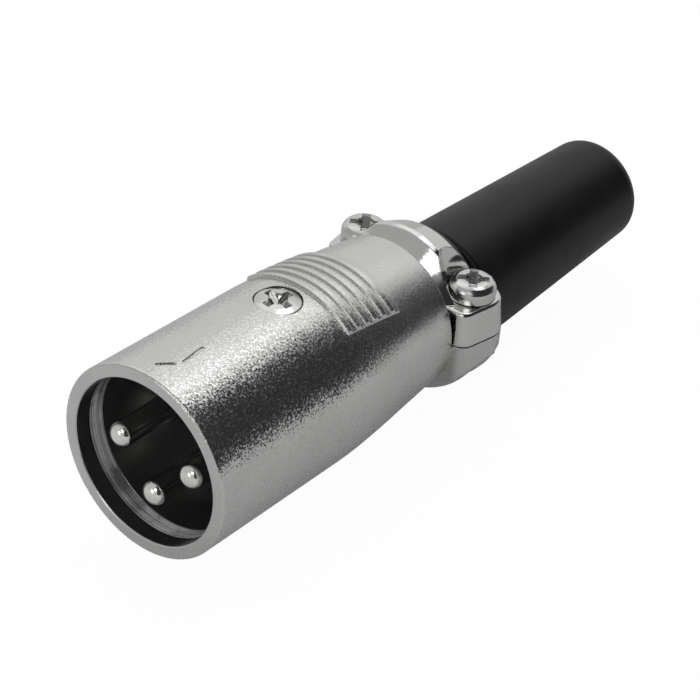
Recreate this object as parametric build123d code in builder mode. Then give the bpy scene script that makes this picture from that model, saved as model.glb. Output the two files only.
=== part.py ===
"""Three-pin round cable plug: die-cast shell, pin insert, screw clamp and rubber boot.

The plug's axis is the X line. X = 0 is the mouth, X grows towards the cable,
Z points up through the screw heads. All lengths are millimetres.
"""
from build123d import *
from math import acos, atan2, cos, hypot, pi, radians, sin, sqrt, tan
import os

os.makedirs("parts", exist_ok=True)

# Barrel of the shell, whose mouth radius and length carry the other sizes
mouth_radius = 9.37
barrel_length = 18.0
draft = 0.0105
wall_thickness = 1.31
bore_radius = mouth_radius - wall_thickness
mouth_chamfer = 0.10
mouth_rounding = 0.25
groove_start = 1.72
groove_end = 3.30
groove_depth = 0.15

# Taper of the shell behind the barrel, as part of the length and part of the fall
taper_length = 15.20
neck_fall = 1.67
neck_x = barrel_length + taper_length
neck_radius = mouth_radius - neck_fall
neck_slope = 0.12
taper_points = ((0.22, 0.115), (0.43, 0.32), (0.62, 0.545), (0.80, 0.755))

# Inside of the shell behind the insert
insert_seat_x = barrel_length + 1.80
seat_step = 0.75
rear_wall = 2.10
inside_taper = 0.70
neck_hole_radius = mouth_radius - 4.62

# Saddle cast on to the lower half of the shell
saddle_start = neck_x + 1.10
saddle_full_x = neck_x + 3.10
saddle_end = neck_x + 6.70
saddle_radius = mouth_radius - 0.31
saddle_rounding = 0.60
foot_flat = 0.25
split_z = -0.22
split_gap = 0.14
ear_drop = 5.00
ear_belly = saddle_radius - 1.96

# Ears and screws of the clamp, with the ears' size at the split
screw_x = neck_x + 4.06
screw_y = mouth_radius - 2.85
ear_back = 0.46
ear_y = screw_y + 0.11
ear_radius = 2.74
ear_draft_deg = 6.0
ear_bulge = ear_y + ear_radius + 0.40
corner_radius = 1.50
corner_y = ear_y + 2.30
clamp_gap = 0.30
seat_z = 3.25
pocket_radius = 2.62
pocket_top_radius = 3.60
pocket_top_z = 8.00
arch_set_back = 0.05
arch_radius = mouth_radius - 1.01
arch_foot_radius = arch_radius - 1.66
arch_rise = 0.60
arch_x = neck_x + 2.10
crest_bevel = 0.22
shoulder_x = neck_x + 4.80
shoulder_fall = 0.96
arch_end = neck_x + 6.20
arch_end_fall = 2.00
edge_rounding = 0.40

# Grip on top of the shell
grip_start = barrel_length + 1.66
grip_pitch = 1.20
grip_count = 6
ridge_width = 0.55
ridge_height = 0.34
pad_height = 0.14
pad_length = 7.24
grip_half_width = mouth_radius - 3.37

# Alignment mark near the mouth, two strokes as (x, y) ends
mark_width = 0.36
mark_depth = 0.12
mark_strokes = (((3.85, -0.81), (6.46, -0.55)), ((1.83, 0.49), (2.95, -0.50)))

# Insert, pins and ground lug
insert_front = insert_seat_x - 5.30
insert_clearance = 0.05
boss_length = 2.00
boss_step = 0.90
pin_radius = 1.20
pin_circle = bore_radius - 3.91
pin_tip_x = 0.90
pin_tip_rounding = 0.95
pin_root_radius = 1.50
pin_clearance = 0.02
cup_radius = pin_root_radius + 0.20
cup_length = 6.00
cup_bore = 1.20
cup_depth = 4.50
lug_length = 3.80
lug_width = 4.00
lug_depth = 2.20
lug_clearance = 0.05
tag_length = 7.00
tag_width = 2.20
tag_thickness = 0.50

# Screws
thread_radius = 1.25
thread_clearance = 0.06
insert_screw_x = insert_seat_x - 2.95
countersink_radius = 2.26
insert_head_radius = 2.14
insert_head_rim = 0.22
insert_head_dome = 0.30
insert_screw_gap = 0.15
head_radius = 2.26
head_height = 1.78
head_side = 0.85
head_flat = 0.55
clamp_screw_end = -5.00
recess_length = 3.00
recess_width = 0.80
recess_depth = 1.05
recess_lip = 0.25
insert_screw_turn = 82.0
right_screw_turn = 35.0
left_screw_turn = 35.0
head_clearance = 0.05

# Rubber boot
boot_seat_x = saddle_end + 1.00
boot_length = 27.20
boot_end = saddle_end + boot_length
boot_radius = mouth_radius - 2.89
boot_fall = 1.20
boot_wall = 3.23
boot_bore = boot_radius - boot_wall
boot_rounding = 1.70
boot_front_rounding = 0.50
boot_neck_radius = neck_hole_radius - 0.15
flange_radius = neck_hole_radius + 0.25
flange_length = 1.70
boot_clearance = 0.10
boot_drop = 1.17
boot_rise_deg = 1.50


def barrel_radius(x):
    """Outside radius of the drafted barrel at x."""
    return mouth_radius - draft * x


clamp_x = neck_x + clamp_gap
ear_x = screw_x + ear_back
cavity_radius = bore_radius - seat_step
wall_x = neck_x - rear_wall
saddle_top = split_z - split_gap / 2
clamp_bottom = split_z + split_gap / 2
seat_top = sqrt(barrel_radius(insert_screw_x) ** 2 - countersink_radius**2) - insert_head_rim


boot_lean = sin(radians(boot_rise_deg))
boot_axis = (cos(radians(boot_rise_deg)), 0, boot_lean)
boot_plane = Plane(origin=(boot_seat_x, 0, -boot_drop), x_dir=(0, 1, 0), z_dir=boot_axis)
passage_length = boot_seat_x - wall_x + rear_wall


def taper_nodes():
    """Points of the outside taper from the end of the barrel to the neck."""
    start = barrel_radius(barrel_length)
    run = neck_x - barrel_length
    fall = start - neck_radius
    middle = [(barrel_length + a * run, start - b * fall) for a, b in taper_points]
    return [(barrel_length, start)] + middle + [(neck_x, neck_radius)]


def shell_radius(x):
    """Outside radius of the shell at x, straight between the taper's points."""
    if x <= barrel_length:
        return barrel_radius(x)
    nodes = taper_nodes()
    for (x0, r0), (x1, r1) in zip(nodes, nodes[1:]):
        if x <= x1:
            return r0 + (r1 - r0) * (x - x0) / (x1 - x0)
    return neck_radius


def outline_of(points):
    """Face in the XZ plane from closed (x, radius) points."""
    with BuildSketch(Plane.XZ) as outline:
        with BuildLine():
            Polyline(*points, close=True)
        make_face()
    return outline.sketch


def shell_outline():
    """Outside of the shell, closed along the axis."""
    nodes = taper_nodes()
    with BuildSketch(Plane.XZ) as outline:
        with BuildLine():
            Line((0, 0), (0, mouth_radius))
            Line((0, mouth_radius), nodes[0])
            Spline(*nodes, tangents=((1, -draft), (1, -neck_slope)))
            Line(nodes[-1], (neck_x, 0))
            Line((neck_x, 0), (0, 0))
        make_face()
    return outline.sketch


def round_point(centre, radius, turn, side):
    """Point on a circle at a turn from the X line, mirrored for the other side."""
    return centre[0] + radius * cos(turn), side * (centre[1] + radius * sin(turn))


def clamp_plan(front_x, front_y, height=0, inset=0):
    """Outline of the clamp's halves seen from above, round over the ears."""
    corner = corner_radius - inset
    ear = ear_radius - inset
    corner_at = (front_x + corner_radius, front_y - corner_radius)
    ear_at = (ear_x, ear_y)
    run, rise = ear_at[0] - corner_at[0], ear_at[1] - corner_at[1]
    lean = atan2(rise, run) + acos((corner - ear) / hypot(run, rise))
    with BuildSketch(Plane.XY.offset(height)) as outline:
        with BuildLine():
            for side in (-1, 1):
                front = [round_point(corner_at, corner, t, side) for t in (pi, (pi + lean) / 2, lean)]
                rear = [round_point(ear_at, ear, t, side) for t in (lean, lean / 2, 0)]
                ThreePointArc(*front)
                Line(front[-1], rear[0])
                ThreePointArc(*rear)
            Line(round_point(corner_at, corner, pi, -1), round_point(corner_at, corner, pi, 1))
            Line(round_point(ear_at, ear, 0, -1), round_point(ear_at, ear, 0, 1))
        make_face()
    return outline.sketch


def drafted_ears(split, end):
    """Plate over both ears that narrows from the split to its end height."""
    inset = abs(end - split) * tan(radians(ear_draft_deg))
    with BuildPart() as plate:
        loft([clamp_plan(clamp_x, corner_y, split), clamp_plan(clamp_x, corner_y, end, inset)], ruled=True)
    return plate.part


def stroke_outline(start, end, height):
    """Round-ended slot between two (x, y) points, at a height."""
    with BuildSketch(Plane.XY.offset(height)) as outline:
        for x, y in (start, end):
            with Locations((x, y)):
                Circle(mark_width / 2)
        make_hull()
    return outline.sketch


grip_rings = [grip_start + grip_pitch * i for i in range(grip_count)]
pad_end = grip_start + pad_length


def ridge_points(x):
    """Trapezoid of one grip ridge that starts at x."""
    root = shell_radius(x) - 0.6
    top = shell_radius(x + ridge_width / 2) + ridge_height
    slant = ridge_width * 0.22
    end = x + ridge_width
    return [(x - slant, root), (x, top), (end, top - 0.02), (end + slant, root)]


with BuildPart() as grip:
    pad_points = [(grip_start, shell_radius(grip_start) - 0.6)]
    for step in range(9):
        x = grip_start + (pad_end - grip_start) * step / 8
        pad_points.append((x, shell_radius(x) + pad_height))
    pad_points.append((pad_end, shell_radius(pad_end) - 0.6))
    revolve(outline_of(pad_points), axis=Axis.X)
    for ring in grip_rings:
        revolve(outline_of(ridge_points(ring)), axis=Axis.X)
    with Locations(((grip_rings[0] + grip_rings[-1]) / 2, 0, mouth_radius)):
        Box(4 * mouth_radius, 2 * grip_half_width, 2 * mouth_radius, mode=Mode.INTERSECT)

with BuildPart() as saddle:
    root = neck_radius - neck_slope * (saddle_start - neck_x)
    knee = saddle_start + (saddle_full_x - saddle_start) * 0.35
    with BuildSketch(Plane.XZ) as bead:
        with BuildLine():
            Line((wall_x, 0), (wall_x, neck_radius - edge_rounding))
            Line((wall_x, neck_radius - edge_rounding), (neck_x, neck_radius))
            Line((neck_x, neck_radius), (saddle_start, root))
            Spline(
                (saddle_start, root),
                (knee, root + (saddle_radius - root) * 0.58),
                (saddle_full_x, saddle_radius),
                tangents=((1, 0.8), (1, 0)),
            )
            Line((saddle_full_x, saddle_radius), (saddle_end, saddle_radius))
            Line((saddle_end, saddle_radius), (saddle_end, 0))
            Line((saddle_end, 0), (wall_x, 0))
        make_face()
    revolve(bead.sketch, axis=Axis.X)
    fillet(saddle.edges().filter_by(GeomType.CIRCLE).group_by(Axis.X)[-1].sort_by(SortBy.RADIUS)[-1:],
           saddle_rounding)
    with Locations((saddle_end, 0, saddle_top + mouth_radius)):
        Box(4 * mouth_radius, 4 * mouth_radius, 2 * mouth_radius, mode=Mode.SUBTRACT)
    with Locations((saddle_end, 0, -saddle_radius + foot_flat - mouth_radius)):
        Box(4 * mouth_radius, 4 * mouth_radius, 2 * mouth_radius, mode=Mode.SUBTRACT)
    extrude(clamp_plan(wall_x, saddle_radius), amount=2 * saddle_radius, both=True, mode=Mode.INTERSECT)

with BuildPart() as saddle_ears:
    add(drafted_ears(saddle_top, saddle_top - ear_drop))
    with BuildSketch(Plane.YZ.offset(wall_x)) as belly:
        Ellipse(ear_bulge, ear_belly)
    extrude(belly.sketch, amount=saddle_end, mode=Mode.INTERSECT)

with BuildPart() as shell:
    revolve(shell_outline(), axis=Axis.X)
    mouth_edge = shell.edges().filter_by(GeomType.CIRCLE).group_by(Axis.X)[0]
    fillet(mouth_edge, mouth_rounding)
    add(saddle.part)
    add(saddle_ears.part)
    add(grip.part)
    inside = [
        (-1, 0),
        (-1, bore_radius + mouth_chamfer + 1),
        (mouth_chamfer, bore_radius),
        (groove_start, bore_radius),
        (groove_start, bore_radius + groove_depth),
        (groove_end, bore_radius + groove_depth),
        (groove_end, bore_radius),
        (insert_seat_x, bore_radius),
        (insert_seat_x, cavity_radius),
        (wall_x, cavity_radius - inside_taper),
        (wall_x, 0),
    ]
    revolve(outline_of(inside), axis=Axis.X, mode=Mode.SUBTRACT)
    with BuildSketch(boot_plane) as passage:
        Circle(neck_hole_radius)
    extrude(passage.sketch, amount=passage_length, both=True, mode=Mode.SUBTRACT)
    seat_cut = [
        (0, 0),
        (thread_radius + thread_clearance, 0),
        (thread_radius + thread_clearance, seat_top - (countersink_radius - thread_radius - thread_clearance)),
        (countersink_radius, seat_top),
        (countersink_radius, mouth_radius + 1),
        (0, mouth_radius + 1),
    ]
    with BuildSketch(Plane.XZ.offset(0)) as seat:
        with BuildLine():
            Polyline(*[(insert_screw_x + r, z) for r, z in seat_cut], close=True)
        make_face()
    revolve(seat.sketch, axis=Axis((insert_screw_x, 0, 0), (0, 0, 1)), mode=Mode.SUBTRACT)
    for stroke_start, stroke_end in mark_strokes:
        mark_floor = barrel_radius(stroke_end[0]) - mark_depth
        extrude(stroke_outline(stroke_start, stroke_end, mark_floor), amount=1, mode=Mode.SUBTRACT)
    for side in (-1, 1):
        with Locations((screw_x, side * screw_y, -mouth_radius / 2)):
            Cylinder(thread_radius + thread_clearance, 2 * mouth_radius, mode=Mode.SUBTRACT)
shell.part.label = "shell"
export_step(shell.part, "parts/shell.step")


insert_radius = bore_radius - insert_clearance
insert_back = insert_seat_x + boss_length
boss_radius = cavity_radius - boss_step
pin_places = ((pin_circle, 0), (0, -pin_circle), (-pin_circle, 0))
lug_top = sqrt((bore_radius - lug_clearance) ** 2 - (lug_width / 2) ** 2) - lug_clearance
lug_floor = lug_top - lug_depth
lug_front = insert_screw_x - lug_length / 2
tag_end = insert_seat_x + tag_length
tag_cut = 2 * (insert_back - insert_screw_x)

with BuildPart() as contact_insert:
    insert_points = [
        (insert_front, 0),
        (insert_front, insert_radius - 0.3),
        (insert_front + 0.3, insert_radius),
        (insert_seat_x, insert_radius),
        (insert_seat_x, boss_radius),
        (insert_back, boss_radius),
        (insert_back, 0),
    ]
    revolve(outline_of(insert_points), axis=Axis.X)
    for y, z in pin_places:
        with BuildSketch(Plane.YZ.offset(insert_front - 1)) as pin_hole:
            with Locations((y, z)):
                Circle(pin_root_radius + pin_clearance)
        extrude(pin_hole.sketch, amount=insert_back - insert_front + 2, mode=Mode.SUBTRACT)
    with Locations((insert_screw_x, 0, lug_floor - lug_clearance + mouth_radius)):
        Box(lug_length + 2 * lug_clearance, lug_width + 2 * lug_clearance, 2 * mouth_radius, mode=Mode.SUBTRACT)
    with Locations((insert_screw_x + tag_cut / 2, 0, lug_floor - lug_clearance + mouth_radius)):
        Box(tag_cut, tag_width + 2 * lug_clearance, 2 * mouth_radius, mode=Mode.SUBTRACT)
contact_insert.part.label = "contact_insert"
export_step(contact_insert.part, "parts/contact_insert.step")


def make_pin(number, y, z):
    """One pin with its solder cup, along X through (y, z)."""
    cup_start = insert_back + pin_clearance
    cup_end = cup_start + cup_length
    with BuildPart() as pin:
        with BuildSketch(Plane.YZ.offset(pin_tip_x)) as shaft:
            with Locations((y, z)):
                Circle(pin_radius)
        extrude(shaft.sketch, amount=insert_front - pin_tip_x)
        fillet(pin.edges().sort_by(Axis.X)[0], pin_tip_rounding)
        with BuildSketch(Plane.YZ.offset(insert_front)) as root:
            with Locations((y, z)):
                Circle(pin_root_radius)
        extrude(root.sketch, amount=cup_start - insert_front)
        with BuildSketch(Plane.YZ.offset(cup_start)) as cup:
            with Locations((y, z)):
                Circle(cup_radius)
        extrude(cup.sketch, amount=cup_length)
        with BuildSketch(Plane.YZ.offset(cup_end)) as cup_hole:
            with Locations((y, z)):
                Circle(cup_bore)
        extrude(cup_hole.sketch, amount=-cup_depth, mode=Mode.SUBTRACT)
        with Locations((cup_end, y, z + cup_radius)):
            Box(2 * cup_depth * 0.7, 3 * cup_radius, 2 * cup_radius, mode=Mode.SUBTRACT)
    pin.part.label = "contact_pin_" + str(number)
    export_step(pin.part, "parts/contact_pin_" + str(number) + ".step")
    return pin.part


pins = [make_pin(i + 1, y, z) for i, (y, z) in enumerate(pin_places)]

with BuildPart() as ground_lug:
    with Locations((insert_screw_x, 0, lug_floor + lug_depth / 2)):
        Box(lug_length, lug_width, lug_depth)
    with Locations(((lug_front + tag_end) / 2, 0, lug_floor + tag_thickness / 2)):
        Box(tag_end - lug_front, tag_width, tag_thickness)
    with Locations((insert_screw_x, 0, lug_top)):
        Cylinder(thread_radius + thread_clearance, 4 * lug_depth, mode=Mode.SUBTRACT)
    with Locations((tag_end - tag_width / 2, 0, lug_floor)):
        Cylinder(tag_width * 0.27, 4 * tag_thickness, mode=Mode.SUBTRACT)
ground_lug.part.label = "ground_lug"
export_step(ground_lug.part, "parts/ground_lug.step")


def arm_plane(turn):
    """Upright plane through the Z axis, half a slot's width back from it."""
    along = (cos(radians(turn)), sin(radians(turn)), 0)
    normal = (sin(radians(turn)), -cos(radians(turn)), 0)
    return Plane(origin=(0, 0, 0), x_dir=along, z_dir=normal).offset(-recess_width / 2)


def turned_screw(points, top, turn):
    """Screw about the Z axis from its (radius, z) outline, with a cross recess."""
    half = recess_length / 2
    floor = top - recess_depth
    with BuildPart() as screw:
        with BuildSketch(Plane.XZ) as side_view:
            with BuildLine():
                Polyline(*points, close=True)
            make_face()
        revolve(side_view.sketch, axis=Axis.Z)
        for quarter in (0, 90):
            with BuildSketch(arm_plane(turn + quarter)) as arm:
                with BuildLine():
                    Polyline((-half, top + 1), (half, top + 1), (half, top - recess_lip),
                             (half * 0.3, floor), (-half * 0.3, floor), (-half, top - recess_lip),
                             close=True)
                make_face()
            extrude(arm.sketch, amount=recess_width, mode=Mode.SUBTRACT)
        with BuildSketch(Plane.XZ) as centre:
            with BuildLine():
                Polyline((0, floor - 0.25), (recess_width * 1.1, top - recess_lip),
                         (recess_width * 1.1, top + 1), (0, top + 1), close=True)
            make_face()
        revolve(centre.sketch, axis=Axis.Z, mode=Mode.SUBTRACT)
    return screw.part


def dome_points(radius, start, top):
    """Round shoulder of a screw head, from its side up to its flat middle."""
    flat = radius * head_flat
    points = []
    for turn in range(0, 91, 18):
        across = flat + (radius - flat) * cos(radians(turn))
        points.append((across, start + (top - start) * sin(radians(turn))))
    return points


def shank(end, under):
    """Screw outline from the end of the shank to the underside of the head."""
    return [
        (0, end),
        (thread_radius - 0.35, end),
        (thread_radius, end + 0.35),
        (thread_radius, under),
    ]


insert_head_top = seat_top + insert_head_rim + insert_head_dome
insert_cone_end = seat_top - (insert_head_radius - thread_radius)
insert_screw_outline = shank(lug_floor + insert_screw_gap, insert_cone_end) + [
    (insert_head_radius, seat_top),
    (insert_head_radius, seat_top + insert_head_rim),
    (insert_head_radius * 0.72, insert_head_top - insert_head_dome * 0.25),
    (insert_head_radius * 0.40, insert_head_top),
    (0, insert_head_top),
]

with BuildPart() as insert_screw:
    with Locations((insert_screw_x, 0, 0)):
        add(turned_screw(insert_screw_outline, insert_head_top, insert_screw_turn))
insert_screw.part.label = "insert_screw"
export_step(insert_screw.part, "parts/insert_screw.step")

def head_pocket():
    """Cone-walled pocket round a screw head, about the Z axis."""
    widening = (pocket_top_radius - pocket_radius) / (pocket_top_z - seat_z)
    top = 2 * pocket_top_z
    points = [
        (0, split_z - 1),
        (pocket_radius, split_z - 1),
        (pocket_radius, seat_z),
        (pocket_radius + widening * (top - seat_z), top),
        (0, top),
    ]
    with BuildPart() as pocket:
        revolve(outline_of(points), axis=Axis.Z)
    return pocket.part


with BuildPart() as clamp_plate:
    add(drafted_ears(clamp_bottom, seat_z))
    fillet(clamp_plate.faces().sort_by(Axis.Z)[-1].edges(), edge_rounding)

with BuildPart() as cable_clamp:
    arch_front = clamp_x + arch_set_back
    front_slope = (arch_radius - arch_foot_radius) / (arch_x - arch_front)
    rear_slope = shoulder_fall / (shoulder_x - arch_x)
    arch_points = [
        (arch_front, arch_rise),
        (arch_front, arch_foot_radius),
        (arch_x - crest_bevel, arch_radius - crest_bevel * front_slope),
        (arch_x + crest_bevel, arch_radius - crest_bevel * rear_slope),
        (shoulder_x, arch_radius - shoulder_fall),
        (arch_end, arch_radius - arch_end_fall),
        (arch_end, arch_rise),
    ]
    revolve(outline_of(arch_points), axis=Axis((0, 0, arch_rise), (1, 0, 0)))
    for side in (-1, 1):
        with Locations((screw_x, side * screw_y, 0)):
            add(head_pocket(), mode=Mode.SUBTRACT)
    add(clamp_plate.part)
    with Locations((clamp_x, 0, clamp_bottom + mouth_radius)):
        Box(4 * mouth_radius, 4 * mouth_radius, 2 * mouth_radius, mode=Mode.INTERSECT)
    for side in (-1, 1):
        with Locations((screw_x, side * screw_y, 0)):
            Cylinder(thread_radius + thread_clearance, 4 * mouth_radius, mode=Mode.SUBTRACT)
    with BuildSketch(boot_plane) as clamp_passage:
        Circle(neck_hole_radius)
    extrude(clamp_passage.sketch, amount=passage_length, both=True, mode=Mode.SUBTRACT)
cable_clamp.part.label = "cable_clamp"
export_step(cable_clamp.part, "parts/cable_clamp.step")

head_under = seat_z + head_clearance
head_top = head_under + head_height
clamp_screw_outline = shank(clamp_screw_end, head_under) + [
    (head_radius - 0.12, head_under),
    (head_radius, head_under + 0.12),
] + dome_points(head_radius, head_under + head_side, head_top) + [(0, head_top)]


def make_clamp_screw(name, side, turn):
    """Pan-head clamp screw on one side of the cable."""
    with BuildPart() as clamp_screw:
        with Locations((screw_x, side * screw_y, 0)):
            add(turned_screw(clamp_screw_outline, head_top, turn))
    clamp_screw.part.label = name
    export_step(clamp_screw.part, "parts/" + name + ".step")
    return clamp_screw.part


clamp_screw_right = make_clamp_screw("clamp_screw_right", -1, right_screw_turn)
clamp_screw_left = make_clamp_screw("clamp_screw_left", 1, left_screw_turn)

boot_start = ear_x + ear_radius + boot_clearance + boot_radius * boot_lean
flange_back = wall_x - boot_clearance - flange_radius * boot_lean
flange_front = flange_back - flange_length
boot_end_radius = boot_radius - boot_fall

with BuildPart() as strain_relief_boot:
    boot_points = [
        (flange_front, boot_bore),
        (flange_front, flange_radius),
        (flange_back, flange_radius),
        (flange_back, boot_neck_radius),
        (boot_start, boot_neck_radius),
        (boot_start, boot_radius),
        (boot_end, boot_end_radius),
        (boot_end, boot_bore),
    ]
    revolve(outline_of(boot_points), axis=Axis.X)
    rings = strain_relief_boot.edges().filter_by(GeomType.CIRCLE)
    fillet(rings.group_by(Axis.X)[-1].sort_by(SortBy.RADIUS)[-1], boot_rounding)
    rings = strain_relief_boot.edges().filter_by(GeomType.CIRCLE)
    fillet(rings.sort_by(SortBy.RADIUS)[-1], boot_front_rounding)
boot_origin = Pos(boot_seat_x, 0, -boot_drop) * Rot(0, -boot_rise_deg, 0) * Pos(-boot_seat_x, 0, 0)
boot_solid = boot_origin * strain_relief_boot.part
boot_solid.label = "strain_relief_boot"
export_step(boot_solid, "parts/strain_relief_boot.step")
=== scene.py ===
"""Looks of a three-pin round cable plug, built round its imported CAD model.

Every length is in metres, in the model's own frame: X runs from the open
mouth to the cable end, Z points up through the screw heads.
"""

import enum
import logging
import math
from dataclasses import dataclass, field, fields
from typing import Any, Optional

import bmesh
import bpy
from mathutils import Matrix, Vector


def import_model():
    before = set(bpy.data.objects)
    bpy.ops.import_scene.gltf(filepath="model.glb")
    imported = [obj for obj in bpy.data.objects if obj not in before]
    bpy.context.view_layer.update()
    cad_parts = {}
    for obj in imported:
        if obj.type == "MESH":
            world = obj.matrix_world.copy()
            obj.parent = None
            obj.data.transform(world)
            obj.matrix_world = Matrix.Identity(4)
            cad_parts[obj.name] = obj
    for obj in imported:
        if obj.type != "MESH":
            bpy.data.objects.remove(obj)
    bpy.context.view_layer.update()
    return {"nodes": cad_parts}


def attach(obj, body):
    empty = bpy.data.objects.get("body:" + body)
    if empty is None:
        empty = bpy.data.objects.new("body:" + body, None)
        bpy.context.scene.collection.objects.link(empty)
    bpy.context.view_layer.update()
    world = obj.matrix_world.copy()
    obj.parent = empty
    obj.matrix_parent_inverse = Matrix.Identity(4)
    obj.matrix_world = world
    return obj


log = logging.getLogger("plug")

MM = 0.001

# Noise scales are features per metre. Ranges are the two ends of a smooth step.
GRAIN_SCALE = 5200.0
PIT_SCALE = 4300.0
PIT_RANGE = (0.50, 0.66)
WAVE_SCALE = 160.0
TURNING_STRETCH = (1.0, 0.012, 0.012)
RING_SCALE = 9000.0
# The dark stripes along X on the turned groove are painted shade for the lines between its ridges,
# partly lathe streaks.
SHADE_BAND_SCALE = 4200.0
SHADE_BAND_RANGE = (0.47, 0.62)
SMEAR_SCALE = 220.0
SMEAR_RANGE = (0.42, 0.66)
DUST_SCALE = 2600.0
DUST_RANGE = (0.66, 0.74)
COARSE_SHARE = 0.6

# Where the mouth's inner wall ends, by radius and along X, and where the neck starts.
BORE_RADII = (8.40 * MM, 8.60 * MM)
BORE_ENDS = (15.0 * MM, 16.0 * MM)
NECK_SPAN = (10.0 * MM, 31.0 * MM)

BEVEL_SAMPLES = 4
PIP_STEPS = 40


class Body(enum.Enum):
    """Rigid bodies that new pieces ride on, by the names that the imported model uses."""

    PLUG = "plug"
    SCREW_LEFT = "screw_left"
    SCREW_RIGHT = "screw_right"


class Socket(enum.Enum):
    """Kinds of socket that a shader node group can have."""

    VALUE = "NodeSocketFloat"
    VECTOR = "NodeSocketVector"
    COLOUR = "NodeSocketColor"


@dataclass
class Tree:
    """Short way to add and join the nodes of one node tree."""

    tree: Any

    def add(self, kind: str, **settings: Any) -> Any:
        """Adds a node and sets its properties.

        Args:
            kind: The node's Blender type name.
            **settings: Properties of the node, by name.

        Returns:
            The new node.
        """
        node = self.tree.nodes.new(kind)
        for name, value in settings.items():
            setattr(node, name, value)
        return node

    def join(self, source: Any, target: Any) -> None:
        """Joins an output socket to an input socket."""
        self.tree.links.new(source, target)

    def maths(self, operation: str, first: Any, second: Any = None, third: Any = None) -> Any:
        """Adds a Math node whose inputs are sockets or plain numbers.

        Args:
            operation: The Math node's operation.
            first: First input, a socket or a number.
            second: Second input, if the operation has one.
            third: Third input, if the operation has one.

        Returns:
            The node's output socket.
        """
        node = self.add("ShaderNodeMath", operation=operation)
        for index, value in enumerate((first, second, third)):
            if value is None:
                continue
            if isinstance(value, (int, float)):
                node.inputs[index].default_value = value
            else:
                self.join(value, node.inputs[index])
        return node.outputs[0]

    def noise(self, vector: Any, scale: float, detail: float, roughness: float = 0.5) -> Any:
        """Adds a noise texture.

        Args:
            vector: Socket with the point to look up.
            scale: Features per metre.
            detail: Octaves of finer noise.
            roughness: Share of the finer noise.

        Returns:
            The noise's value, from 0 to 1.
        """
        node = self.add("ShaderNodeTexNoise")
        node.inputs["Scale"].default_value = scale
        node.inputs["Detail"].default_value = detail
        node.inputs["Roughness"].default_value = roughness
        self.join(vector, node.inputs["Vector"])
        return node.outputs[0]

    def ramp(
        self, value: Any, low: float, high: float, start: float = 0.0, end: float = 1.0
    ) -> Any:
        """Maps a value smoothly from one range to another.

        Args:
            value: Socket to map.
            low: Value that maps to start.
            high: Value that maps to end.
            start: Result at low.
            end: Result at high.

        Returns:
            The mapped value.
        """
        node = self.add("ShaderNodeMapRange", interpolation_type="SMOOTHSTEP")
        limits = {"From Min": low, "From Max": high, "To Min": start, "To Max": end}
        for name, number in limits.items():
            node.inputs[name].default_value = number
        self.join(value, node.inputs["Value"])
        return node.outputs[0]

    def vector_maths(self, operation: str, first: Any, second: Any = None) -> Any:
        """Adds a Vector Math node whose inputs are sockets or plain tuples.

        Args:
            operation: The node's operation.
            first: First input, a socket or a tuple.
            second: Second input, if the operation has one.

        Returns:
            The node, so that either its vector or its value can be used.
        """
        node = self.add("ShaderNodeVectorMath", operation=operation)
        for index, value in enumerate((first, second)):
            if isinstance(value, tuple):
                node.inputs[index].default_value = value
            elif value is not None:
                self.join(value, node.inputs[index])
        return node

    def place(self, group: Any, point: Any, **values: float) -> Any:
        """Adds a node group that looks up a point.

        Args:
            group: The node group.
            point: Socket with the surface point.
            **values: Plain numbers for the group's other inputs.

        Returns:
            The group's node.
        """
        node = self.add("ShaderNodeGroup", node_tree=group)
        self.join(point, node.inputs["Point"])
        for name, value in values.items():
            node.inputs[name].default_value = value
        return node

    def mix(self, factor: Any, first: tuple, second: tuple) -> Any:
        """Mixes two colours by a factor socket.

        Args:
            factor: Socket from 0 for the first colour to 1 for the second.
            first: First colour, red, green and blue.
            second: Second colour.

        Returns:
            The mixed colour.
        """
        node = self.add("ShaderNodeMix", data_type="RGBA")
        node.inputs["A"].default_value = (*first, 1.0)
        node.inputs["B"].default_value = (*second, 1.0)
        self.join(factor, node.inputs["Factor"])
        return node.outputs["Result"]


def new_group(
    name: str, inputs: dict[str, Socket], outputs: dict[str, Socket]
) -> tuple[Any, Tree, Any, Any]:
    """Makes an empty shader node group.

    Args:
        name: The group's name.
        inputs: Input names and kinds.
        outputs: Output names and kinds.

    Returns:
        The group, its tree helper, and its input and output nodes.
    """
    group = bpy.data.node_groups.new(name, "ShaderNodeTree")
    for label, kind in inputs.items():
        group.interface.new_socket(name=label, in_out="INPUT", socket_type=kind.value)
    for label, kind in outputs.items():
        group.interface.new_socket(name=label, in_out="OUTPUT", socket_type=kind.value)
    tree = Tree(group)
    return group, tree, tree.add("NodeGroupInput"), tree.add("NodeGroupOutput")


def cast_grain_group() -> Any:
    """Makes the grain of a plated casting: random tilts, dull pits, and slow waves as a height.

    Returns:
        The node group, with Point, Grain and Waves inputs and Tilt, Pits and Height outputs.
    """
    inputs = {"Point": Socket.VECTOR, "Grain": Socket.VALUE, "Waves": Socket.VALUE}
    outputs = {"Tilt": Socket.VECTOR, "Pits": Socket.VALUE, "Height": Socket.VALUE}
    group, tree, into, out = new_group("cast_grain", inputs, outputs)
    point = into.outputs["Point"]
    texture = tree.add("ShaderNodeTexNoise")
    texture.inputs["Scale"].default_value = GRAIN_SCALE
    texture.inputs["Detail"].default_value = 1.0
    tree.join(point, texture.inputs["Vector"])
    centred = tree.vector_maths("SUBTRACT", texture.outputs["Color"], (0.5, 0.5, 0.5))
    tilt = tree.vector_maths("SCALE", centred.outputs[0])
    tree.join(into.outputs["Grain"], tilt.inputs["Scale"])
    tree.join(tilt.outputs[0], out.inputs["Tilt"])
    tree.join(tree.ramp(tree.noise(point, PIT_SCALE, 1.0), *PIT_RANGE), out.inputs["Pits"])
    waves = tree.maths("MULTIPLY", tree.noise(point, WAVE_SCALE, 1.0), into.outputs["Waves"])
    tree.join(waves, out.inputs["Height"])
    return group


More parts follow.
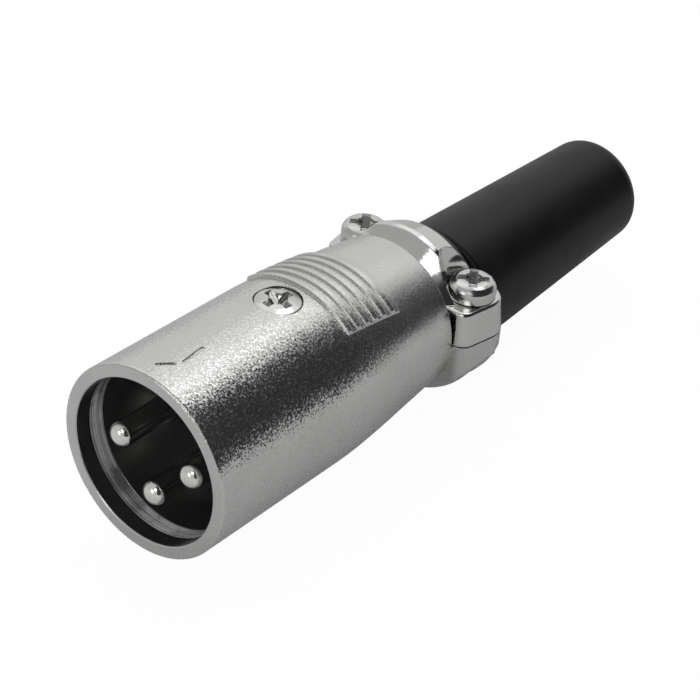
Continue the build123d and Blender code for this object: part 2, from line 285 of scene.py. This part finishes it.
def turning_group() -> Any:
    """Makes the rings that a lathe leaves round the X axis, and dark stripes of painted shade along
    X.

    Returns:
        The node group, with a Point input, fine Rings as a height and dark Bands as a mask; the
        Bands are painted shade for the dark lines between the groove's ridges, partly lathe
        streaks.
    """
    outputs = {"Rings": Socket.VALUE, "Bands": Socket.VALUE}
    group, tree, into, out = new_group("turning", {"Point": Socket.VECTOR}, outputs)
    along = tree.vector_maths("MULTIPLY", into.outputs["Point"], TURNING_STRETCH).outputs[0]
    tree.join(tree.noise(along, RING_SCALE, 2.0), out.inputs["Rings"])
    bands = tree.noise(along, SHADE_BAND_SCALE, 2.0, COARSE_SHARE)
    tree.join(tree.ramp(bands, *SHADE_BAND_RANGE), out.inputs["Bands"])
    return group


def zones_group() -> Any:
    """Makes masks that tell the mouth's smooth inner wall and the neck from the cast outside.

    Returns:
        The node group, with a Point input and Inside and Neck masks.
    """
    outputs = {"Inside": Socket.VALUE, "Neck": Socket.VALUE}
    group, tree, into, out = new_group("zones", {"Point": Socket.VECTOR}, outputs)
    across = tree.vector_maths("MULTIPLY", into.outputs["Point"], (0.0, 1.0, 1.0)).outputs[0]
    radius = tree.vector_maths("LENGTH", across).outputs["Value"]
    parts = tree.add("ShaderNodeSeparateXYZ")
    tree.join(into.outputs["Point"], parts.inputs[0])
    within = tree.ramp(radius, *BORE_RADII, 1.0, 0.0)
    ahead = tree.ramp(parts.outputs["X"], *BORE_ENDS, 1.0, 0.0)
    tree.join(tree.maths("MULTIPLY", within, ahead), out.inputs["Inside"])
    tree.join(tree.ramp(parts.outputs["X"], *NECK_SPAN), out.inputs["Neck"])
    return group


def handling_group() -> Any:
    """Makes the faint smears and dust that every handled surface has.

    Returns:
        The node group, with a Point input and Smear and Dust outputs.
    """
    group, tree, into, out = new_group(
        "handling", {"Point": Socket.VECTOR}, {"Smear": Socket.VALUE, "Dust": Socket.VALUE}
    )
    point = into.outputs["Point"]
    broad = tree.noise(point, SMEAR_SCALE, 4.0, COARSE_SHARE)
    specks = tree.noise(point, DUST_SCALE, 2.0)
    tree.join(tree.ramp(broad, *SMEAR_RANGE), out.inputs["Smear"])
    tree.join(tree.ramp(specks, *DUST_RANGE), out.inputs["Dust"])
    return group


@dataclass(frozen=True)
class Finish:
    """Look of one surface: colour, gloss and relief.

    Attributes:
        name: The material's name.
        colour: Base colour.
        shade: Base colour where the surface is smeared, and where the dark stripes along X paint
            shade on it.
        metallic: Share of metal.
        roughness: Roughness of the clean surface.
        smear: Roughness that smears and dust add.
        grain: Strength of the grain's random tilt.
        pits: Roughness that the grain's pits add, only with bore_roughness.
        waves: Height of the slow waves, as a share of relief.
        relief: Height of the relief in metres.
        turned: Height of the lathe rings, as a share of relief.
        bands: Strength of the dark stripes along X, painted shade for the dark lines between the
            groove's ridges, partly lathe streaks.
        bore_roughness: Roughness inside the mouth, for a finish that has zones.
        bore_grain: Share of the grain that is left inside the mouth.
        neck_roughness: Roughness that the neck adds.
        neck_grain: Share of the grain that is left at the neck.
        edge: Radius in metres to which edges look rounded.
        specular: Level of the reflection of a surface that isn't metal.
    """

    name: str
    colour: tuple[float, float, float]
    shade: tuple[float, float, float]
    metallic: float
    roughness: float
    smear: float = 0.04
    grain: float = 0.0
    pits: float = 0.0
    waves: float = 0.0
    relief: float = 1.0e-5
    turned: float = 0.0
    bands: float = 0.0
    bore_roughness: Optional[float] = None
    bore_grain: float = 0.3
    neck_roughness: float = 0.0
    neck_grain: float = 1.0
    edge: float = 0.0
    specular: float = 0.5

    def material(self, groups: dict[str, Any]) -> Any:
        """Builds the finish as a material.

        Args:
            groups: The shared node groups, by name.

        Returns:
            The new material.
        """
        made = bpy.data.materials.new(self.name)
        made.use_nodes = True
        tree = Tree(made.node_tree)
        shader = made.node_tree.nodes["Principled BSDF"]
        point = tree.add("ShaderNodeTexCoord").outputs["Object"]
        handling = tree.place(groups["handling"], point)
        grain = tree.place(groups["cast_grain"], point, Grain=self.grain, Waves=self.waves)
        shade = handling.outputs["Smear"]
        tilt, height = grain.outputs["Tilt"], grain.outputs["Height"]
        worn = tree.maths("ADD", shade, handling.outputs["Dust"])
        rough = tree.maths("MULTIPLY_ADD", worn, self.smear, self.roughness)
        if self.bore_roughness is not None:
            zones = tree.place(groups["zones"], point).outputs
            change = self.bore_roughness - self.roughness
            rough = tree.maths("MULTIPLY_ADD", zones["Inside"], change, rough)
            rough = tree.maths("MULTIPLY_ADD", zones["Neck"], self.neck_roughness, rough)
            share = tree.maths("MULTIPLY_ADD", zones["Inside"], self.bore_grain - 1.0, 1.0)
            share = tree.maths("MULTIPLY_ADD", zones["Neck"], self.neck_grain - 1.0, share)
            pits = tree.maths("MULTIPLY", grain.outputs["Pits"], share)
            rough = tree.maths("MULTIPLY_ADD", pits, self.pits, rough)
            height = tree.maths("MULTIPLY", height, share)
            scaled = tree.vector_maths("SCALE", tilt)
            tree.join(share, scaled.inputs["Scale"])
            tilt = scaled.outputs[0]
        if self.turned:
            turning = tree.place(groups["turning"], point)
            height = tree.maths("MULTIPLY_ADD", turning.outputs["Rings"], self.turned, height)
            # Dark stripes along X darken the colour: painted shade for the lines between ridges,
            # partly lathe streaks.
            shade = tree.maths("MULTIPLY_ADD", turning.outputs["Bands"], self.bands, shade)
        tree.join(tree.mix(shade, self.colour, self.shade), shader.inputs["Base Color"])
        tree.join(rough, shader.inputs["Roughness"])
        tree.join(self.normal(tree, tilt, height), shader.inputs["Normal"])
        shader.inputs["Metallic"].default_value = self.metallic
        shader.inputs["Specular IOR Level"].default_value = self.specular
        return made

    def normal(self, tree: Tree, tilt: Any, height: Any) -> Any:
        """Tilts and bumps the surface's normal.

        Args:
            tree: The material's tree helper.
            tilt: Socket with the grain's random tilt.
            height: Socket with the relief's height.

        Returns:
            The socket with the new normal.
        """
        if self.edge:
            base = tree.add("ShaderNodeBevel", samples=BEVEL_SAMPLES)
            base.inputs["Radius"].default_value = self.edge
        else:
            base = tree.add("ShaderNodeNewGeometry")
        tilted = tree.vector_maths("ADD", base.outputs["Normal"], tilt).outputs[0]
        bump = tree.add("ShaderNodeBump")
        bump.inputs["Distance"].default_value = self.relief
        tree.join(height, bump.inputs["Height"])
        tree.join(tree.vector_maths("NORMALIZE", tilted).outputs[0], bump.inputs["Normal"])
        return bump.outputs["Normal"]


@dataclass(frozen=True)
class Palette:
    """Every finish of the plug."""

    shell: Finish = Finish(
        "cast_nickel", (0.70, 0.70, 0.69), (0.67, 0.67, 0.66), 1.0, 0.18,
        smear=0.03, grain=0.52, pits=0.14, waves=0.7, relief=4.0e-5, edge=0.12 * MM,
        bore_roughness=0.22, bore_grain=0.10, neck_roughness=0.07, neck_grain=0.22,
    )
    clamp: Finish = Finish(
        "polished_nickel", (0.72, 0.72, 0.71), (0.68, 0.68, 0.67), 1.0, 0.07,
        smear=0.03, grain=0.05, waves=2.4, relief=6.0e-5, edge=0.20 * MM,
    )
    screw: Finish = Finish(
        "screw_nickel", (0.70, 0.70, 0.69), (0.64, 0.64, 0.63), 1.0, 0.17,
        smear=0.05, grain=0.06, waves=1.6, relief=6.0e-5, edge=0.10 * MM,
    )
    pin: Finish = Finish(
        "pin_silver", (0.98, 0.97, 0.95), (0.92, 0.91, 0.89), 1.0, 0.10,
        grain=0.03, waves=0.4, turned=0.25,
    )
    insert: Finish = Finish(
        "insert_black", (0.017, 0.017, 0.018), (0.025, 0.025, 0.025), 0.0, 0.62,
        grain=0.08, waves=0.2,
    )
    lug: Finish = Finish(
        "tinned_brass", (0.72, 0.66, 0.52), (0.60, 0.53, 0.38), 1.0, 0.30, grain=0.1,
    )
    boot: Finish = Finish(
        "boot_rubber", (0.006, 0.006, 0.006), (0.009, 0.009, 0.009), 0.0, 0.42,
        smear=0.06, grain=0.06, waves=0.5, relief=2.0e-5, specular=0.32,
    )
    # The turned groove's dark colour in its stripes is painted shade for the dark lines between its
    # ridges, partly lathe streaks.
    turned: Finish = Finish(
        "turned_nickel", (0.90, 0.90, 0.89), (0.22, 0.22, 0.22), 0.40, 0.50,
        smear=0.02, grain=0.90, waves=0.2, relief=3.0e-5, turned=0.4, bands=0.55,
    )

    def build(self) -> dict[str, Any]:
        """Builds each finish as a material.

        Returns:
            The materials, by the finish's field name.
        """
        groups = {
            "cast_grain": cast_grain_group(), "handling": handling_group(),
            "turning": turning_group(), "zones": zones_group(),
        }
        return {part.name: getattr(self, part.name).material(groups) for part in fields(self)}


def dress(node: Any, material: Any) -> None:
    """Gives a carried-over CAD node one material on all its slots.

    Args:
        node: The CAD node's object.
        material: The material to use.
    """
    if not node.material_slots:
        node.data.materials.append(material)
    for slot in node.material_slots:
        slot.link = "OBJECT"
        slot.material = material
    log.info("dressed %s in %s", node.name, material.name)


def mesh_object(name: str, mesh: bmesh.types.BMesh, material: Any, smooth: bool = True) -> Any:
    """Turns a bmesh into an object in the scene.

    Args:
        name: The object's name.
        mesh: The bmesh, which is freed.
        material: The object's material.
        smooth: Whether its faces are shaded smooth.

    Returns:
        The new object.
    """
    bmesh.ops.recalc_face_normals(mesh, faces=mesh.faces)
    data = bpy.data.meshes.new(name)
    mesh.to_mesh(data)
    mesh.free()
    for polygon in data.polygons:
        polygon.use_smooth = smooth
    data.materials.append(material)
    made = bpy.data.objects.new(name, data)
    bpy.context.collection.objects.link(made)
    return made


def revolved(name: str, profile: list[tuple[float, float]], material: Any, steps: int = 180) -> Any:
    """Turns a closed (x, radius) profile round the X axis.

    Args:
        name: The object's name.
        profile: Corners of the closed profile.
        material: The object's material.
        steps: Flats round the turn.

    Returns:
        The new object, with flat shading.
    """
    mesh = bmesh.new()
    rings = []
    for index in range(steps):
        turn = 2 * math.pi * index / steps
        across, up = math.cos(turn), math.sin(turn)
        rings.append([mesh.verts.new((x, r * across, r * up)) for x, r in profile])
    count = len(profile)
    for index, ring in enumerate(rings):
        after = rings[(index + 1) % steps]
        for side in range(count):
            other = (side + 1) % count
            mesh.faces.new((ring[side], ring[other], after[other], after[side]))
    return mesh_object(name, mesh, material, smooth=False)


@dataclass
class ShellAssembly:
    """Plated die-cast shell with its grip and saddle."""

    nodes: dict[str, Any]
    finishes: dict[str, Any]
    ring_start: float = 1.74 * MM
    ring_end: float = 3.28 * MM
    ring_root: float = 8.195 * MM
    ring_crest: float = 8.085 * MM
    ring_count: int = 5
    ring_rise: float = 0.62
    ring_flat: float = 0.92
    ring_backing: float = 0.01 * MM

    def build(self) -> None:
        """Dresses the shell and adds the tool marks in the groove of its mouth."""
        dress(self.nodes["shell"], self.finishes["shell"])
        self.build_tool_marks()

    def build_tool_marks(self) -> None:
        """Builds the fine turned ridges on the floor of the mouth's groove."""
        pitch = (self.ring_end - self.ring_start) / self.ring_count
        backing = self.ring_root + self.ring_backing
        profile = [(self.ring_start, backing)]
        for index in range(self.ring_count):
            start = self.ring_start + pitch * index
            profile += [
                (start, self.ring_root),
                (start + pitch * self.ring_rise, self.ring_crest),
                (start + pitch * self.ring_flat, self.ring_crest),
            ]
        profile += [(self.ring_end, self.ring_root), (self.ring_end, backing)]
        marks = revolved("mouth_groove_ridges", profile, self.finishes["turned"])
        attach(marks, Body.PLUG.value)
        log.info("built %s with %d ridges", marks.name, self.ring_count)


@dataclass
class ContactSet:
    """Insert, pins, ground lug and the screw that holds them."""

    nodes: dict[str, Any]
    finishes: dict[str, Any]
    pins: tuple[str, ...] = ("contact_pin_1", "contact_pin_2", "contact_pin_3")
    pip_radius: float = 0.11 * MM
    pip_height: float = 0.04 * MM
    pip_foot: float = 0.02 * MM
    pip_hole: float = 0.01 * MM
    pip_shape: tuple[tuple[float, float], ...] = ((0.35, 0.92), (0.8, 0.62), (1.0, 0.30))
    tip_depth: float = 6.0 * MM

    def build(self) -> None:
        """Dresses the insert, the pins, the lug and the screw, and adds the pins' pips."""
        dress(self.nodes["contact_insert"], self.finishes["insert"])
        dress(self.nodes["ground_lug"], self.finishes["lug"])
        dress(self.nodes["insert_screw"], self.finishes["screw"])
        for pin in self.pins:
            dress(self.nodes[pin], self.finishes["pin"])
            self.build_pip(self.nodes[pin])

    def build_pip(self, pin: Any) -> None:
        """Builds the small pip that the lathe left in the middle of a pin's tip.

        Args:
            pin: The pin's object.
        """
        points = [pin.matrix_world @ vertex.co for vertex in pin.data.vertices]
        tip = min(point.x for point in points)
        near = [(point.y, point.z) for point in points if point.x < tip + self.tip_depth]
        middle = [(min(values) + max(values)) / 2 for values in zip(*near)]
        profile = [(tip + self.pip_foot, self.pip_radius)]
        for rise, share in self.pip_shape:
            profile.append((tip - self.pip_height * rise, self.pip_radius * share))
        profile += [(tip - self.pip_height, self.pip_hole), (tip + self.pip_foot, self.pip_hole)]
        pip = revolved(pin.name + "_pip", profile, self.finishes["pin"], PIP_STEPS)
        for vertex in pip.data.vertices:
            vertex.co.y += middle[0]
            vertex.co.z += middle[1]
        for polygon in pip.data.polygons:
            polygon.use_smooth = True
        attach(pip, Body.PLUG.value)
        log.info("built %s at %s", pip.name, middle)


@dataclass
class Thread:
    """Helical thread round a screw's shank."""

    x: float
    y: float
    bottom: float
    top: float
    radius: float = 1.235 * MM
    crest: float = 1.285 * MM
    pitch: float = 0.45 * MM
    steps: int = 28
    half_width: float = 0.36
    root_share: float = 0.97
    run_out: float = 0.5

    def build(self, name: str, material: Any, body: Body) -> None:
        """Builds the thread as one closed ridge.

        Args:
            name: The piece's name.
            material: Its material.
            body: The body that it rides on.
        """
        mesh = bmesh.new()
        turns = (self.top - self.bottom) / self.pitch
        count = int(turns * self.steps)
        half = self.pitch * self.half_width
        root = self.radius * self.root_share
        rings = []
        for index in range(count + 1):
            angle = 2 * math.pi * index / self.steps
            across, along = math.cos(angle), math.sin(angle)
            height = self.bottom + self.pitch * index / self.steps
            turns_to_end = min(index, count - index) / self.steps
            crest = self.radius + (self.crest - self.radius) * min(1.0, turns_to_end / self.run_out)
            points = ((self.radius, -half), (crest, 0.0), (self.radius, half), (root, 0.0))
            rings.append([
                mesh.verts.new((self.x + r * across, self.y + r * along, height + lift))
                for r, lift in points
            ])
        corners = len(rings[0])
        for first, second in zip(rings, rings[1:]):
            for side in range(corners):
                other = (side + 1) % corners
                mesh.faces.new((first[side], first[other], second[other], second[side]))
        mesh.faces.new(rings[0])
        mesh.faces.new(rings[-1])
        made = mesh_object(name, mesh, material)
        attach(made, body.value)
        log.info("built %s with %.1f turns", name, turns)


@dataclass
class ClampAssembly:
    """Cable clamp with its two pan-head screws."""

    nodes: dict[str, Any]
    finishes: dict[str, Any]
    screw_x: float = 37.26 * MM
    screw_y: float = 6.52 * MM
    thread_bottom: float = -4.45 * MM
    thread_top: float = 2.60 * MM

    def build(self) -> None:
        """Dresses the clamp and the screws, and adds the screws' threads."""
        dress(self.nodes["cable_clamp"], self.finishes["clamp"])
        for side, name, body in ((1, "left", Body.SCREW_LEFT), (-1, "right", Body.SCREW_RIGHT)):
            dress(self.nodes["clamp_screw_" + name], self.finishes["screw"])
            thread = Thread(self.screw_x, side * self.screw_y, self.thread_bottom, self.thread_top)
            thread.build("clamp_screw_thread_" + name, self.finishes["screw"], body)


@dataclass
class BootAssembly:
    """Rubber boot over the cable entry."""

    nodes: dict[str, Any]
    finishes: dict[str, Any]

    def build(self) -> None:
        """Dresses the boot."""
        dress(self.nodes["strain_relief_boot"], self.finishes["boot"])


@dataclass
class Softbox:
    """Rectangular studio lamp that faces the plug.

    Attributes:
        name: The lamp's name.
        azimuth: Direction from the plug in degrees, from X towards Y.
        elevation: Height of that direction in degrees.
        distance: Distance from the plug in metres.
        size: Width in metres.
        radiance: Brightness, where 1 is the brightness of a white surface.
        size_y: Height in metres, or the width if it is left out.
    """

    name: str
    azimuth: float
    elevation: float
    distance: float
    size: float
    radiance: float
    size_y: Optional[float] = None

    def build(self, target: Vector) -> None:
        """Places the lamp round a target.

        Args:
            target: The point that the lamp faces.
        """
        data = bpy.data.lights.new(self.name, "AREA")
        data.shape = "RECTANGLE"
        data.size = self.size
        data.size_y = self.size_y or self.size
        data.energy = self.radiance * math.pi * data.size * data.size_y
        lamp = bpy.data.objects.new(self.name, data)
        bpy.context.collection.objects.link(lamp)
        flat = math.cos(math.radians(self.elevation))
        way = Vector((
            flat * math.cos(math.radians(self.azimuth)),
            flat * math.sin(math.radians(self.azimuth)),
            math.sin(math.radians(self.elevation)),
        ))
        lamp.location = target + way * self.distance
        lamp.rotation_euler = way.to_track_quat("Z", "Y").to_euler()


@dataclass
class Studio:
    """Pale floor, soft lamps, world light and the camera."""

    target: tuple[float, float, float] = (0.033, 0.0, 0.0)
    floor_z: float = -9.40 * MM
    floor_size: float = 3.0
    floor_grey: float = 0.66
    floor_share: float = 0.92
    floor_white: float = 1.055
    # The floor's glow in reflections is dimmer near the plug, round a middle point, and brighter
    # further off: painted shade.
    sheen_near: float = 0.13
    sheen_far: float = 0.23
    sheen_middle: tuple[float, float] = (0.045, -0.012)
    sheen_span: tuple[float, float] = (0.010, 0.068)
    lens: float = 145.01
    sensor: float = 36.0
    clip_start: float = 0.01
    azimuth: float = 37.06
    elevation: float = 35.14
    roll: float = 5.23
    place: tuple[float, float, float] = (-0.143003, -0.129143, 0.148950)
    wall_azimuth: float = 70.0
    wall_ramp: tuple[float, float] = (-0.10, 0.27)
    wall_level: float = 0.68
    wall_top_level: float = 1.03
    wall_top_ramp: tuple[float, float] = (0.52, 0.76)
    wall_end_azimuth: float = 7.0
    wall_end_ramp: tuple[float, float] = (-0.12, 0.08)
    rear_azimuth: float = 135.0
    rear_ramp: tuple[float, float] = (0.02, 0.24)
    rear_level: float = 0.42
    dark_level: float = 0.032
    lamps: list[Softbox] = field(default_factory=lambda: [
        Softbox("top_softbox", -5.0, 70.0, 0.60, 0.26, 1.25),
        Softbox("front_softbox", -161.0, 39.0, 0.60, 0.22, 1.5),
        Softbox("side_softbox", 172.0, 10.0, 0.60, 0.20, 1.1, 0.30),
    ])

    def build(self) -> None:
        """Builds the whole studio."""
        self.build_floor()
        self.build_world()
        for lamp in self.lamps:
            lamp.build(Vector(self.target))
        self.build_camera()

    def build_floor(self) -> None:
        """Lays a pale floor that looks white and still takes the plug's shadow; what glossy rays
        see of it glows dimmer near the plug, a painted shade in its reflections.
        """
        mesh = bmesh.new()
        half = self.floor_size / 2
        corners = [mesh.verts.new((x, y, self.floor_z)) for x, y in
                   ((-half, -half), (half, -half), (half, half), (-half, half))]
        mesh.faces.new(corners)
        made = bpy.data.materials.new("studio_floor")
        made.use_nodes = True
        tree = Tree(made.node_tree)
        shader = made.node_tree.nodes["Principled BSDF"]
        shader.inputs["Base Color"].default_value = (self.floor_grey,) * 3 + (1.0,)
        shader.inputs["Roughness"].default_value = 1.0
        shader.inputs["Specular IOR Level"].default_value = 0.0
        glow = tree.add("ShaderNodeEmission")
        glow.inputs["Strength"].default_value = self.floor_white
        blend = tree.add("ShaderNodeMixShader")
        path = tree.add("ShaderNodeLightPath")
        spot = tree.add("ShaderNodeTexCoord").outputs["Object"]
        # Glossy rays see the floor glow dimmer near the plug: painted shade in its reflections.
        middle = (*self.sheen_middle, self.floor_z)
        away = tree.vector_maths("DISTANCE", spot, middle).outputs["Value"]
        sheen_with_painted_shade = tree.ramp(away, *self.sheen_span, self.sheen_near, self.sheen_far)
        seen = tree.maths("MULTIPLY", path.outputs["Is Camera Ray"], self.floor_share)
        mirrored = tree.maths("MULTIPLY_ADD", path.outputs["Is Glossy Ray"], sheen_with_painted_shade, seen)
        passed = path.outputs["Is Transmission Ray"]
        through = tree.maths("MULTIPLY_ADD", passed, self.floor_share, mirrored)
        tree.join(through, blend.inputs[0])
        tree.join(shader.outputs[0], blend.inputs[1])
        tree.join(glow.outputs[0], blend.inputs[2])
        tree.join(blend.outputs[0], made.node_tree.nodes["Material Output"].inputs["Surface"])
        mesh_object("studio_floor", mesh, made, smooth=False)

    def build_world(self) -> None:
        """Lights the plug from a room with one long pale wall and one dark side."""
        world = bpy.data.worlds.new("studio_room")
        bpy.context.scene.world = world
        world.use_nodes = True
        tree = Tree(world.node_tree)
        back = world.node_tree.nodes["Background"]
        way = tree.add("ShaderNodeTexCoord").outputs["Generated"]
        parts = tree.add("ShaderNodeSeparateXYZ")
        tree.join(way, parts.inputs[0])
        levels = (self.wall_level, self.wall_top_level)
        level = tree.ramp(parts.outputs["Z"], *self.wall_top_ramp, *levels)
        side = self.side_of(tree, way, self.wall_azimuth, *self.wall_ramp)
        end = self.side_of(tree, way, self.wall_end_azimuth, *self.wall_end_ramp)
        wall = tree.maths("MULTIPLY", tree.maths("MULTIPLY", level, side), end)
        behind = self.side_of(tree, way, self.rear_azimuth, *self.rear_ramp)
        rear = tree.maths("MULTIPLY", behind, self.rear_level)
        lit = tree.maths("ADD", tree.maths("MAXIMUM", wall, rear), self.dark_level)
        camera = tree.add("ShaderNodeLightPath").outputs["Is Camera Ray"]
        tree.join(tree.maths("MAXIMUM", lit, camera), back.inputs["Strength"])
        back.inputs["Color"].default_value = (1.0, 1.0, 1.0, 1.0)

    def side_of(self, tree: Tree, way: Any, azimuth: float, low: float, high: float) -> Any:
        """Finds how much of a direction lies on one side of the room.

        Args:
            tree: The world's tree helper.
            way: Socket with the direction.
            azimuth: Where that side's middle lies, in degrees from X.
            low: Share of the way along the azimuth where the side starts.
            high: Share at which the side is full.

        Returns:
            A socket from 0 outside the side to 1 inside it.
        """
        across = tree.add("ShaderNodeVectorMath", operation="DOT_PRODUCT")
        turn = math.radians(azimuth)
        across.inputs[1].default_value = (math.cos(turn), math.sin(turn), 0.0)
        tree.join(way, across.inputs[0])
        return tree.ramp(across.outputs["Value"], low, high)

    def build_camera(self) -> None:
        """Sets the camera where the photograph was taken from."""
        data = bpy.data.cameras.new("camera")
        data.lens = self.lens
        data.sensor_width = self.sensor
        data.clip_start = self.clip_start
        camera = bpy.data.objects.new("camera", data)
        bpy.context.collection.objects.link(camera)
        az, el, roll = (math.radians(v) for v in (self.azimuth, self.elevation, self.roll))
        back = Vector((-math.cos(az) * math.cos(el), -math.sin(az) * math.cos(el), math.sin(el)))
        right = Vector((0.0, 0.0, 1.0)).cross(back).normalized()
        up = back.cross(right)
        turned_right = right * math.cos(roll) + up * math.sin(roll)
        turned_up = up * math.cos(roll) - right * math.sin(roll)
        turn = Matrix((turned_right, turned_up, back)).transposed()
        camera.matrix_world = Matrix.Translation(Vector(self.place)) @ turn.to_4x4()
        bpy.context.scene.camera = camera


def main() -> None:
    """Loads the frame, dresses the plug and sets up the studio."""
    logging.basicConfig(level=logging.INFO, format="%(name)s: %(message)s")
    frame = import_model()
    nodes = frame["nodes"]
    finishes = Palette().build()
    for assembly in (ShellAssembly, ContactSet, ClampAssembly, BootAssembly):
        assembly(nodes, finishes).build()
    Studio().build()
    bpy.context.scene.view_settings.view_transform = "Standard"


if __name__ == "__main__":
    main()
